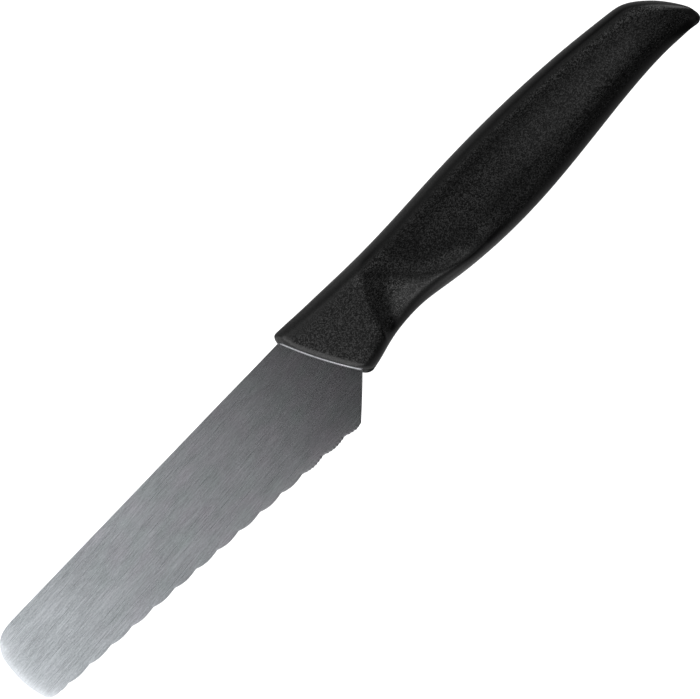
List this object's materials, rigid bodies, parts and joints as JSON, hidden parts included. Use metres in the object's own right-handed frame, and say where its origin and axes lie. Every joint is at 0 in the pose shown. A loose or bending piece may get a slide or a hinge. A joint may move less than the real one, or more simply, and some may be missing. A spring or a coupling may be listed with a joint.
{
  "type": "bread roll knife",
  "caption": "Short kitchen knife with a straight spine, blunt rounded tip and wavy cutting edge, its sheet steel blade held in a moulded plastic grip with a hooked butt.",
  "frame": {"origin": "bottom centre of the knife's box, the knife lying on its side", "axes": "+X along the spine from the tip to the butt, +Y from the cutting edge to the spine, +Z out of the flat side of the blade, away from the surface it lies on"},
  "size_m": [0.215, 0.0282, 0.0128],
  "materials": {
    "steel": "stainless sheet, finely brushed nearly along the blade, satin",
    "grip": "black moulded plastic, fine grain on the cheeks, smooth rim all round"
  },
  "bodies": {
    "root": {"blade": "steel", "handle": "grip"}
  },
  "joints": []
}
